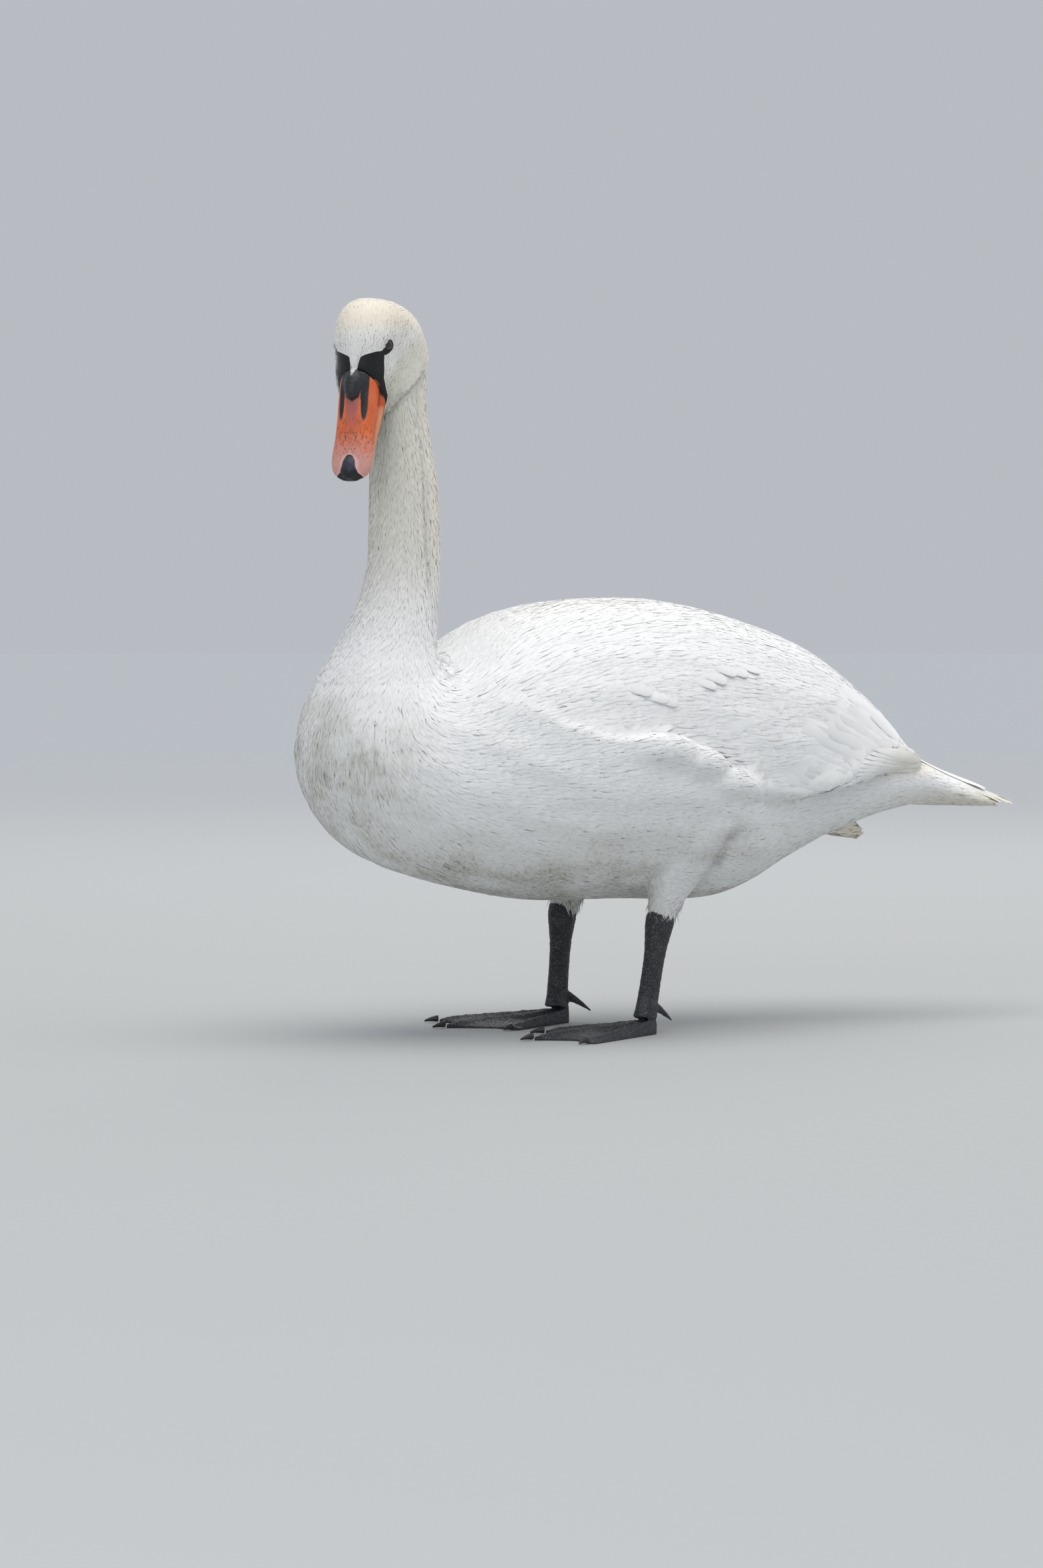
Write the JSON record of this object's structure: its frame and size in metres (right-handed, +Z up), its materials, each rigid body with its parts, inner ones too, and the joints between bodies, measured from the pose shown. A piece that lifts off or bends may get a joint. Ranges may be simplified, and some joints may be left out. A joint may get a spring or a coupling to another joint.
{
  "type": "mute swan",
  "caption": "Still life-size mute swan that stands on webbed feet, with its neck upright, its wings folded, and its head turned to its left with the bill pointing down.",
  "frame": {"origin": "on the floor, below the middle of the whole swan's box", "axes": "+Z up, the swan faces -Y, +X towards its left side"},
  "size_m": [0.285, 0.7521, 0.6664],
  "materials": {
    "white_plumage": "soft white body feathers, lying flat",
    "cream_plumage": "short plush cream-tinted feathers",
    "flight_feathers": "long white vanes with cream tips",
    "orange_bill": "satin orange bill sheath, pinker towards the tip",
    "black_horn": "smooth black horn",
    "leg_skin": "scaly black-grey skin",
    "eye": "wet dark eye"
  },
  "bodies": {
    "root": {"trunk": "white_plumage", "wing_left": "white_plumage", "wing_right": "white_plumage", "primaries_left": "flight_feathers", "primaries_right": "flight_feathers", "tail": "flight_feathers", "neck_lower": "white_plumage", "neck_middle": "white_plumage", "neck_upper": "cream_plumage", "head": "cream_plumage", "bill_upper": "orange_bill", "bill_lower": "orange_bill", "bill_knob": "black_horn", "bill_nail": "black_horn", "eye_left": "eye", "eye_right": "eye", "thigh_left": "white_plumage", "thigh_right": "white_plumage", "shank_left": "leg_skin", "shank_right": "leg_skin", "hallux_left": "leg_skin", "hallux_right": "leg_skin", "foot_left": "leg_skin", "foot_right": "leg_skin", "claw_inner_left": "black_horn", "claw_middle_left": "black_horn", "claw_outer_left": "black_horn", "claw_inner_right": "black_horn", "claw_middle_right": "black_horn", "claw_outer_right": "black_horn"}
  },
  "joints": []
}
